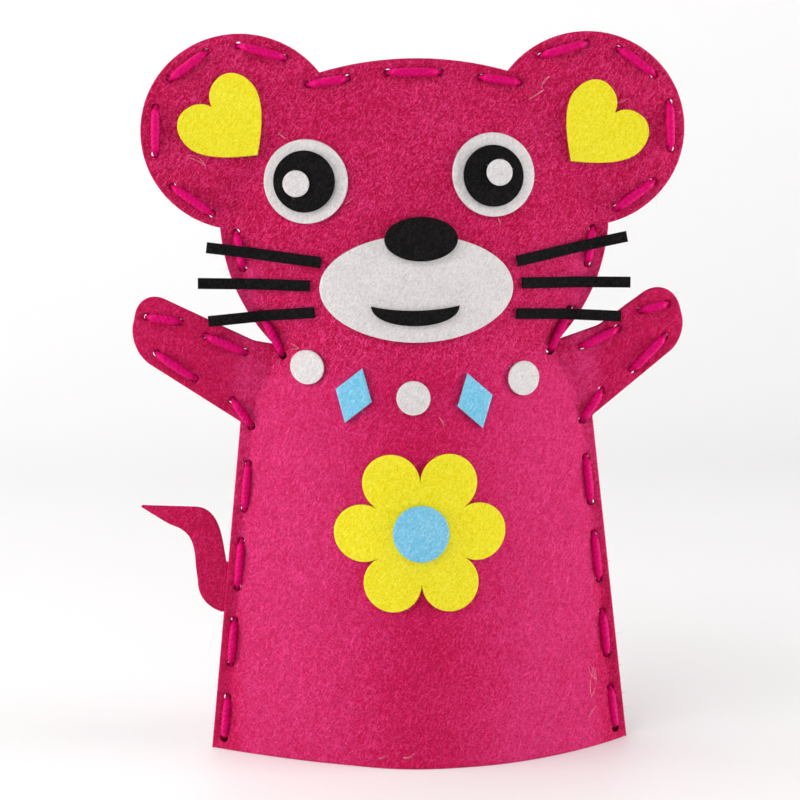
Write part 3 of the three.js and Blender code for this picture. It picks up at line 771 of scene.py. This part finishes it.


# Dark, middle and light colour, sheen, relief and seed of each felt; the pink felt adds its strand
# contrast, its sheen tint and the strength of the painted light and shade on the bowed body and the head.
FELTS = {
    "pink_felt": (
        (172, 2, 50), (205, 9, 77), (232, 66, 134), 0.09, 0.9, 3, 0.38, linear(255, 120, 180), 0.16,
    ),
    "yellow_felt": ((212, 188, 12), (226, 212, 24), (236, 228, 82), 0.1, 0.5, 11),
    "white_felt": ((189, 184, 184), (211, 205, 205), (231, 228, 228), 0.1, 0.6, 23),
    "black_felt": ((9, 8, 9), (14, 13, 14), (40, 38, 39), 0.06, 0.6, 31),
    "blue_felt": ((87, 169, 206), (107, 182, 215), (160, 211, 231), 0.1, 0.5, 43),
}
LOOKS = {name: felt_material(name, *values) for name, values in FELTS.items()}
LOOKS["yarn"] = yarn_material("yarn")
LOOKS["pink_hair"] = hair_material("pink_hair", linear(214, 30, 96), linear(240, 84, 138))
LOOKS["pale_hair"] = hair_material("pale_hair", linear(222, 120, 140), linear(238, 196, 200))


def over_neck(piece):
    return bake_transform(piece)


def over_shoulder(piece):
    """Bakes the piece's place into its mesh; it is not bent at the arm's root."""
    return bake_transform(piece)


# ---- stitches
ARM_HOLES = {
    side: [(shoulder_x + dx, neck_z + dz) for dx, dz in holes]
    for side, holes in ((-1, LEFT_ARM_HOLES), (1, RIGHT_ARM_HOLES))
}
# All holes in sewing order, from the hem up each half of the seam to the top of the head.
halves = [flip(side_holes + ARM_HOLES[side] + [neck_hole] + HEAD_HOLES, side) for side in (-1, 1)]
whole_route = halves[0] + halves[1][::-1]
stitches = list(zip(whole_route, whole_route[1:]))
front_stitches = stitches[0::2]
back_stitches = stitches[1::2]


# ---- panels
LOWER_SHARE = 0.6  # the part of a panel that is bowed out around the hand
CUTS = {}  # every felt piece by name, with what its flat size is worked out from
NARROWEST_SHEET = 10.0


def note_cut(piece, outline, on=None, held="laid", wider=1.0):
    CUTS[piece.name] = (piece, outline, on, held, wider)


def flat_size(outline):
    """Width, length and area of an outline, taken along its own axes."""
    ring = np.array(outline) - np.mean(outline, axis=0)
    _, axes = np.linalg.eigh(ring.T @ ring)
    width, length = np.ptp(ring @ axes, axis=0)
    return float(width), float(length), float(abs(twice_area(ring)) / 2)


def declare_sheets():
    """Finds the felt pieces narrower than a sheet, then goes through the others without declaring them."""
    small = {name: cut for name, cut in CUTS.items() if flat_size(cut[1])[0] < NARROWEST_SHEET}
    for name, (piece, outline, on, held, wider) in CUTS.items():
        if name in small:
            continue


def punched(holes, side):
    """The panels are punched apart, so the back holes are a little off the front ones."""
    if side < 0:
        return holes
    return [tuple(np.array(h) + rng.normal(0, BACK_HOLE_STRAY, 2).clip(-0.6, 0.6)) for h in holes]


def felt_panel(name, outline, side, holes, coarse):
    """One panel of pink felt: side is -1 for the front and 1 for the back."""
    depths = panel_depths(side, holes, front_stitches if side < 0 else back_stitches)
    hole_r = HOLE_R if side < 0 else BACK_HOLE_R
    flags = on_fold(outline)
    slab = felt_slab(outline, depths, side, coarse, flags, punched(holes, side), hole_r=hole_r)
    slab = with_fuzz(slab, outline, depths, side, 0.8, 0.4, flags=flags)
    return mesh_piece(name, *slab, "pink_felt")


def make_panels():
    outline = body_outline()
    widths = np.linspace(-hem_half, hem_half, 200)
    across = np.hypot(np.diff(widths), np.diff(bulge(widths, np.full_like(widths, 0.35 * armpit_z)))).sum()
    bowed_wider = float(across / (2 * hem_half))
    body_holes = [h for s in (-1, 1) for h in flip(side_holes + [neck_hole] + HEAD_HOLES, s)]
    for name, side in (("front", -1), ("back", 1)):
        body = felt_panel(f"panel_{name}_body", outline, side, body_holes, coarse=2.6)
        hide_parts(f"torso_{name}", f"head_{name}")
        over_neck(body)
        note_cut(body, outline, held="stretched", wider=1 + (bowed_wider - 1) * LOWER_SHARE)
        for arm_name, arm, arm_side in (("left", LEFT_ARM, -1), ("right", RIGHT_ARM, 1)):
            shape = arm_outline(arm, arm_side)
            holes = flip(ARM_HOLES[arm_side], arm_side)
            piece = felt_panel(f"panel_{name}_arm_{arm_name}", shape, side, holes, coarse=1.6)
            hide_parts(f"arm_{arm_name}_{name}")
            over_shoulder(piece)
            note_cut(piece, shape, body.name, "stretched")


# ---- yarn
def yarn_line(holes, side, step=0.45):
    """Centre line of a running stitch and how thick the yarn is along it; side is the first stitch's."""
    line, swell = [], []
    for (x0, z0), (x1, z1) in zip(holes, holes[1:]):
        length = dist((x0, z0), (x1, z1))
        n = max(6, int(length / step))
        for k in range(n + 1):
            t = k / n
            x, z = x0 + (x1 - x0) * t, z0 + (z1 - z0) * t
            ends = min(t, 1 - t) * length
            face = SEAM_HALF + bulge(x, z) + FELT - YARN_SINK
            out = face + YARN_R * 0.93
            dip = exp(-((ends / 1.2) ** 2))
            y = side * (out * (1 - dip) + 0.12 * dip)
            toward = HOLE_SLANT * exp(-((ends / 2.0) ** 2)) * (1 if t < 0.5 else -1) * min(1, ends / 0.4)
            line.append((x + (x1 - x0) / length * toward, y, z + (z1 - z0) / length * toward))
            swell.append(0.84 + 0.26 * sin(pi * t) ** 0.7 - 0.2 * dip)
        side = -side
    return np.array(line), np.array(swell)


def yarn_tube(line, swell, plies=3, pitch=5.2, around=20):
    """A tube with the grooves of its twisted plies, closed at both ends."""
    run = unit(np.gradient(line, axis=0))
    length = np.concatenate([[0], np.cumsum(np.linalg.norm(np.diff(line, axis=0), axis=1))])
    across = np.cross(run[0], [0.1, 0.3, 1.0])
    points = []
    for place, direction, along, thick in zip(line, run, length, swell):
        across = across - direction * (across @ direction)
        across /= np.linalg.norm(across)
        up = np.cross(direction, across)
        spin = 2 * pi * along / pitch
        for k in range(around):
            phi = 2 * pi * k / around
            groove = abs(cos(plies * (phi - spin) / 2))
            r = YARN_R * thick * (0.8 + 0.24 * groove)
            points.append(place + (across * cos(phi) + up * sin(phi)) * r)
    return np.array(points), tube_faces(len(line), around)


def sewn(name, holes, side):
    return mesh_piece(f"yarn_{name}", *yarn_tube(*yarn_line(holes, side)), "yarn")


def make_yarn():
    for name, side in (("left", -1), ("right", 1)):
        hem = [(side_holes[0][0] + 0.3, side_holes[0][1] + 1.5)] + side_holes
        piece = sewn(f"{name}_side", flip(hem, side), 1)
        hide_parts(f"stitching_{name}_side")
        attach(piece, "torso")
        arm = [side_holes[-1]] + ARM_HOLES[side] + [neck_hole]
        piece = sewn(f"{name}_arm", flip(arm, side), -1)
        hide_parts(f"stitching_{name}_arm", f"stitching_{name}_neck")
        over_shoulder(piece)
    head = [neck_hole] + HEAD_HOLES
    piece = sewn("head", flip(head, -1) + head[::-1], -1)
    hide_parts("stitching_head")
    over_neck(piece)


# ---- trims
TRIM_MESH = {"fine": 0.95, "band": 3.0, "edge": TRIM_EDGE_ROUND}
MOST_SLANT = 1.25  # a trim isn't made thicker than this many times its felt where it slopes
BODY_PANEL = "panel_front_body"


def glued(outline, level=1, lift=0.0, clear=0.0):
    """Depths of a trim glued on the front; its free edge may lift a little."""
    ring = np.array(outline)

    def depths(x, z):
        below = front_face(x, z) + (level - 1) * (TRIM + GLUE) + GLUE
        if clear:
            below = np.log(np.exp((below - clear) * 1.6) + 1) / 1.6 + clear
        if lift:
            gap = gap_to(ring, np.stack([x, z], 1))
            below = below + lift * np.exp(-gap / 2.2)
        return below, below + TRIM * np.minimum(slant(x, z), MOST_SLANT)

    return depths


def make_trim(
    name, outline, look, body, level=1, lift=0.12, clear=0.0, hair=0.35, bends=False, on=BODY_PANEL,
):
    slab = felt_slab(outline, glued(outline, level, lift, clear), -1, 1.9, **TRIM_MESH)
    slab = with_fuzz(slab, outline, glued(outline, level, 0, clear), -1, 1.0, hair)
    piece = mesh_piece(f"{name}_felt", *slab, look)
    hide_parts(name)
    if bends:
        over_neck(piece)
    else:
        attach(piece, body)
    note_cut(piece, outline, on)


def spot(name, oval=False):
    """The outline of a round or oval trim, where the CAD has it."""
    (x, z), (rx, rz) = box_centre(name), box_half(name)
    rz = rz if oval else rx
    n = max(16, int(2 * pi * max(rx, rz) / TRIM_STEP))
    return [(x + rx * cos(a), z + rz * sin(a)) for a in np.arange(n) * 2 * pi / n]


def turned_about(x, z, p, q, degrees):
    """The place (p, q) from (x, z), in axes turned by an angle."""
    a = radians(degrees)
    return x + p * cos(a) - q * sin(a), z + p * sin(a) + q * cos(a)


def straight_sided(corners):
    return joined(*[straight(a, b, TRIM_STEP) for a, b in zip(corners, corners[1:] + corners[:1])])


# The right half of a heart, from its tip round to its notch, in half widths and heights.
HEART_HALF = (
    ((0, 0), (0.4, 0.165), (1, 0.42), (1, 0.68)),
    ((1, 0.68), (1, 0.915), (0.73, 1), (0.53, 1)),
    ((0.53, 1), (0.3, 1), (0.07, 0.935), (0, 0.8)),
)
HEART_HALF_WIDTH, HEART_HEIGHT = 15.0, 27.3


def heart_outline(tip, tilt):
    left = [tuple((-a, b) for a, b in reversed(run)) for run in reversed(HEART_HALF)]
    runs = []
    for run in (*HEART_HALF, *left):
        ends = [turned_about(*tip, p * HEART_HALF_WIDTH, q * HEART_HEIGHT, tilt) for p, q in run]
        runs.append(bezier(*ends, step=TRIM_STEP))
    return joined(*runs)


def strip_outline(a, b, width):
    a, b = np.array(a), np.array(b)
    along = (b - a) / np.linalg.norm(b - a)
    off = np.array([-along[1], along[0]]) * width / 2
    return straight_sided([a - off, b - off, b + off, a + off])


def diamond_outline(x, z, turn, across=6.2, up=9.4):
    corners = [(-across, 0), (0, -up), (across, 0), (0, up)]
    return straight_sided([turned_about(x, z, p, q, turn) for p, q in corners])


def flower_outline(x, z, notch=16.8, petal=9.5, petals=6):
    step = pi / petals
    half = notch * sin(step)
    reach = notch * cos(step) + sqrt(petal ** 2 - half ** 2)
    wide = pi - asin(half / petal)
    runs = []
    for i in range(petals):
        a = 2 * step * i
        centre = x + reach * cos(a), z + reach * sin(a)
        runs.append(arc(*centre, petal, a - wide, a + wide, TRIM_STEP))
    return joined(*runs)


def mouth_outline():
    low, high = node_box("mouth")
    x, half, top = box_centre("mouth")[0], box_half("mouth")[0], high[2]
    left, right = (x - half, top), (x + half, top)
    lower, upper = top - (high[2] - low[2]) * 4 / 3, top - 1.5 * 1.33
    return joined(
        bezier(left, (x - half, lower), (x + half, lower), right, 0.7),
        bezier(right, (x + half * 0.45, upper), (x - half * 0.45, upper), left, 0.7),
    )


def make_trims():
    for side, name in ((-1, "left"), (1, "right")):
        tip = (side * 52.4, node_box(f"heart_{name}")[0][2] + 0.1)
        make_trim(f"heart_{name}", heart_outline(tip, -side * 43), "yellow_felt", "head", lift=0.35)
        on = BODY_PANEL
        for level, ring in enumerate(("white", "black", "glint"), 1):
            node = f"eye_{name}_{ring}"
            look = "black_felt" if ring == "black" else "white_felt"
            make_trim(node, spot(node), look, "head", level, lift=0.1, on=on)
            on = f"{node}_felt"
    make_trim("muzzle", spot("muzzle", True), "white_felt", "head", lift=0.25, bends=True)
    make_trim("nose", spot("nose", True), "black_felt", "head", 2, lift=0.3, on="muzzle_felt")
    make_trim("mouth", mouth_outline(), "black_felt", "head", 2, lift=0.15, bends=True, on="muzzle_felt")
    for node in ("left", "middle", "right"):
        name = f"necklace_disc_{node}"
        make_trim(name, spot(name), "white_felt", "torso", bends=True)
    for node, turn in (("left", -19), ("right", 15)):
        name = f"necklace_diamond_{node}"
        make_trim(name, diamond_outline(*box_centre(name), turn), "blue_felt", "torso")
    make_trim("flower", flower_outline(*box_centre("flower")), "yellow_felt", "torso", lift=0.3)
    make_trim("flower_centre", spot("flower_centre"), "blue_felt", "torso", 2, lift=0.2, on="flower_felt")


WHISKER_WIDTH = 3.7
WHISKER_CLEAR = 3.25  # the whiskers stand over the stitches, at least this far in front of the seam plane
# Both ends of each whisker: x from the middle, z from the neck.
WHISKERS = {
    "left_top": ((-32.2, 27.8), (-70.1, 32.9)),
    "left_middle": ((-36, 20.1), (-73.2, 21)),
    "left_low": ((-34.6, 11.3), (-70, 8.2)),
    "right_top": ((33, 27.3), (71.3, 34.8)),
    "right_middle": ((34.6, 20.1), (72.5, 19.3)),
    "right_low": ((32.6, 10), (69.3, 7.8)),
}


def make_whiskers():
    for name, (a, b) in WHISKERS.items():
        shape = strip_outline((a[0], neck_z + a[1]), (b[0], neck_z + b[1]), WHISKER_WIDTH)
        make_trim(
            f"whisker_{name}", shape, "black_felt", "head", 1,
            lift=0.0, clear=WHISKER_CLEAR, hair=0.3, bends=name.endswith("low"),
        )


# ---- tail
TAIL_ROOT_HALF = 8.7  # half the height of the root, along the seam
TAIL_TAB = 6.6  # how far the tab reaches into the seam
TAIL_LENGTH = 28
TAIL_CURL = 1.6  # how far back the tip curls
TAIL_FELT_HALF = 0.55
TAIL_HOLE = side_holes[4]


# The free edge from the seam up and round the tip: the spacing of its points, then one place (straight)
# or three (curved), each out from the seam and up from the root.
TAIL_EDGE = (
    (TRIM_STEP, (0.9, 16), (1.2, 27.4), (9.6, 28)),
    (TRIM_STEP, (27.4, 28.7)),
    (TRIM_STEP / 2, (28.2, 28.7), (28.4, 28.2), (28.0, 27.8)),
    (TRIM_STEP, (22.5, 24.3)),
    (TRIM_STEP, (20, 22.6), (18.2, 21.6), (16.2, 21)),
    (TRIM_STEP, (11, 18.5), (10.4, 14), (10.2, 8)),
    (TRIM_STEP, (9.9, 4), (9.7, 3.5), (9.6, 1.8)),
)


def tail_outline():
    def at(out, up):
        return -(edge_at(TAIL_ROOT) + out), TAIL_ROOT + up

    def by_seam(out, up):
        return -(edge_at(TAIL_ROOT + up) + out), TAIL_ROOT + up

    low, high = by_seam(-TAIL_TAB, -TAIL_ROOT_HALF), by_seam(-TAIL_TAB, TAIL_ROOT_HALF)
    low_edge, here = by_seam(0.6, -TAIL_ROOT_HALF), by_seam(0.6, TAIL_ROOT_HALF)
    runs = [straight(low, high, TRIM_STEP), straight(high, here, TRIM_STEP)]
    for step, *places in TAIL_EDGE:
        draw = bezier if len(places) == 3 else straight
        runs.append(draw(here, *[at(*p) for p in places], step))
        here = at(*places[-1])
    runs.append(bezier(here, at(9.6, -4), at(5.4, -7.6), low_edge, TRIM_STEP))
    return joined(*runs, straight(low_edge, low, TRIM_STEP))


def make_tail():
    def depths(x, z):
        out = np.clip((-x - edge_at(TAIL_ROOT)) / TAIL_LENGTH, 0, 1)
        curl = -TAIL_CURL * out * out
        return curl - TAIL_FELT_HALF, curl + TAIL_FELT_HALF

    outline = tail_outline()
    holes = flip([TAIL_HOLE], -1)
    slab = felt_slab(outline, depths, -1, 1.6, holes=holes, **TRIM_MESH)
    slab = with_fuzz(slab, outline, depths, -1, 0.8, 0.35)
    piece = mesh_piece("tail_felt", *slab, "pink_felt")
    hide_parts("tail", "tail_tab")
    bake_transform(piece)
    note_cut(piece, outline, "panel_back_body")


# ---- loose fibres
HAIR_LENGTH = (1.2, 3.4)
HAIR_RADIUS = 0.05
HAIR_LEAN = (50, 28)  # degrees from level: the usual direction and its spread
STRAY_RADIUS = 0.06


def before_front(x, z, gap):
    """A place this far in front of the front panel's felt."""
    return x, -(front_face(x, z) + gap), z


def surface_hairs(name, count, where):
    """Short hairs that lie on the felt, mostly leaning one way."""
    hairs = []
    for _ in range(count):
        x, z = where()
        angle = radians(rng.normal(*HAIR_LEAN))
        half = rng.uniform(*HAIR_LENGTH) / 2
        way = np.array([cos(angle), sin(angle)])
        side = np.array([-way[1], way[0]]) * rng.normal(0, 0.16) * half
        line = []
        for t in (-1, -0.5, 0, 0.5, 1):
            px, pz = np.array([x, z]) + way * half * t + side * (1 - t * t)
            line.append(before_front(px, pz, 0.05 + 0.17 * (1 - t * t)))
        hairs.append(fibre(line, HAIR_RADIUS))
    return mesh_piece(name, *gathered(hairs), "pink_hair", "pink_felt")


def inside(outline, lowest, highest):
    """A chooser of points well inside an outline and between two heights."""
    ring = np.array(outline)
    low, high = ring.min(0), ring.max(0)
    after = np.roll(ring, -1, 0)

    def choose():
        while True:
            p = rng.uniform(low, high)
            crosses = (ring[:, 1] > p[1]) != (after[:, 1] > p[1])
            span = np.where(after[:, 1] == ring[:, 1], 1, after[:, 1] - ring[:, 1])
            at = ring[:, 0] + (p[1] - ring[:, 1]) * (after[:, 0] - ring[:, 0]) / span
            within = (crosses & (p[0] < at)).sum() % 2 and np.hypot(*(ring - p).T).min() > 3
            if within and lowest < p[1] < highest:
                return p

    return choose


def make_hairs():
    outline = body_outline()
    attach(surface_hairs("hairs_head", 1000, inside(outline, neck_z + 12, inf)), "head")
    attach(surface_hairs("hairs_torso", 260, inside(outline, -inf, neck_z - 6)), "torso")


# Single fibres that stand out of the felt: start (x, z), reach (x, z), how far forward the tip is.
STRAYS_HEAD = (
    ((36.5, 63), (-3.2, 1.2), 1.5), ((43.6, 84), (-4.6, -2.4), 1.2), ((45.4, 88.4), (-3.0, -3.8), 1.0),
    ((68, 79.4), (3.6, 1.6), 1.8), ((66, 81), (1.8, 2.8), 1.2), ((56.6, 60.6), (0.8, -1.8), 0.8),
    ((-43, 68.6), (-2.4, 1.8), 1.2), ((-24, 47), (2.2, 0.9), 0.9), ((27, 41.6), (0.4, -2.2), 0.8),
    ((20.4, 31.6), (1.6, 1.8), 0.8), ((-12, 22), (1.6, -0.8), 0.4), ((-70, 60), (-6.0, 3.4), 1.6),
)
STRAYS_TORSO = (
    ((58.5, 16.5), (1.2, 9.0), 2.2), ((60.2, 22), (-2.6, 6.4), 1.6), ((57.2, 9.6), (2.8, 3.6), 1.4),
    ((28.6, 87.6), (1.4, 2.0), 0.9), ((-26.6, 85.2), (-1.6, 1.9), 0.9), ((5.6, 116.2), (1.6, -3.4), 0.8),
    ((-40, 138), (-3.4, 0.6), 0.8), ((-8, 4), (3.2, 1.6), 1.0), ((-16, 3.2), (2.6, 1.8), 0.8),
)


def make_strays():
    for body, rows, base in (("head", STRAYS_HEAD, neck_z), ("torso", STRAYS_TORSO, 0.0)):
        strays = []
        for (x, z), (dx, dz), out in [row for row in rows for _ in range(2)]:
            spread_x, spread_z = rng.normal(0, 0.5, 2)
            bend = rng.normal(0, 0.35) * hypot(dx, dz)
            line = []
            for t in np.linspace(0, 1, 7):
                px = x + dx * t + spread_x * t + bend * t * (1 - t) * dz / 4
                pz = base + z + dz * t + spread_z * t - bend * t * (1 - t) * dx / 4
                line.append(before_front(px, pz, out * t * (1.4 - t)))
            strays.append(fibre(line, STRAY_RADIUS))
        piece = mesh_piece(f"stray_fibres_{body}", *gathered(strays), "pale_hair", "white_felt")
        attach(piece, body)


make_panels()
make_yarn()
make_trims()
make_whiskers()
make_tail()
make_hairs()
make_strays()
declare_sheets()


# ---- stage, light and camera
FLOOR_GLOW, FAR_GLOW = 0.09, 0.6


def stage():
    floor = Nodes("backdrop")
    floor.colour(floor.noise(floor.coords, 1.2), (0.3, linear(229, 228, 228)), (0.7, linear(233, 232, 232)))
    set_inputs(floor.shader, {"Roughness": 0.55, "Emission Color": (1, 1, 1, 1)})
    # Beyond the soft lights the floor is seen as pale as it is near the puppet.
    place = floor.add("ShaderNodeSeparateXYZ")
    floor.link(floor.coords, place.inputs["Vector"])
    seen = floor.add("ShaderNodeLightPath").outputs["Is Camera Ray"]
    aside = floor.fade(floor.math("ABSOLUTE", place.outputs["X"]), 0.42, 0.95)
    far = floor.math("MAXIMUM", aside, floor.fade(place.outputs["Y"], -0.5, -1.1))
    glow = floor.times(floor.times(far, seen), FAR_GLOW)
    floor.link(floor.total(glow, FLOOR_GLOW), floor.shader.inputs["Emission Strength"])
    width, front, back, height, radius = 2.1, -1.3, 1.1, 2.4, 0.5
    profile = [(front, 0.0), (back - radius, 0.0)]
    bend = [pi / 2 * k / 12 for k in range(1, 13)]
    profile += [(back - radius + radius * sin(a), radius - radius * cos(a)) for a in bend]
    profile.append((back, height))
    points = [(x, y, z) for y, z in profile for x in (-width / 2, width / 2)]
    faces = [(2 * i, 2 * i + 1, 2 * i + 3, 2 * i + 2) for i in range(len(profile) - 1)]
    new_object("backdrop", smooth_mesh("backdrop", points, faces, floor.material))


def softbox(name, place, target, size, watts):
    data = bpy.data.lights.new(name, "AREA")
    data.shape = "RECTANGLE"
    data.size, data.size_y = size
    data.energy = watts
    lamp = new_object(name, data)
    lamp.location = place
    lamp.rotation_euler = (Vector(target) - Vector(place)).to_track_quat("-Z", "Y").to_euler()


def lights():
    aim = (0, 0, 0.12)
    softbox("left_softbox", (-1.15, -0.24, 0.22), aim, (0.7, 0.9), 14.6)
    softbox("right_softbox", (1.15, -0.24, 0.22), aim, (0.7, 0.9), 16.4)
    softbox("top_softbox", (-0.4, -0.5, 1.0), aim, (0.6, 0.5), 4.7)
    softbox("front_fill", (0.1, -1.4, 0.1), (0, 0, 0.05), (1.2, 0.3), 4.0)
    softbox("backdrop_light", (-0.75, 0.35, 1.5), (-0.55, 0.9, 0.3), (1.2, 0.6), 7.4)
    world = bpy.data.worlds.new("studio")
    world.use_nodes = True
    sky = world.node_tree.nodes["Background"]
    sky.inputs["Color"].default_value = (1, 1, 1, 1)
    rays = world.node_tree.nodes.new("ShaderNodeLightPath")
    strength = world.node_tree.nodes.new("ShaderNodeMapRange")
    set_inputs(strength, {"To Min": 0.2, "To Max": 0.93})
    world.node_tree.links.new(rays.outputs["Is Camera Ray"], strength.inputs["Value"])
    world.node_tree.links.new(strength.outputs["Result"], sky.inputs["Strength"])
    bpy.context.scene.world = world
    bpy.context.scene.view_settings.view_transform = "Standard"


def camera():
    """Portrait lens at 0.7 m, a little above and to the left of the puppet, tilted a little."""
    azimuth, elevation, roll = radians(-3.335), radians(7.0), radians(0.626)
    distance, lens, sensor = 0.700, 92.65, 36.0
    aim_left, aim_height = 5.77 * MM, 0.120
    rise, image = 2.04, 800  # pixels
    aim = Vector((mid_x * MM - aim_left, 0, aim_height))
    back = Vector((
        sin(azimuth) * cos(elevation),
        -cos(azimuth) * cos(elevation),
        sin(elevation),
    ))
    data = bpy.data.cameras.new("camera")
    data.lens, data.sensor_width = lens, sensor
    data.shift_y = -rise / image
    shot = new_object("camera", data)
    turn = (-back).to_track_quat("-Z", "Y").to_matrix().to_4x4() @ Matrix.Rotation(-roll, 4, "Z")
    shot.matrix_world = Matrix.Translation(aim + back * distance) @ turn
    bpy.context.scene.camera = shot


stage()
lights()
camera()
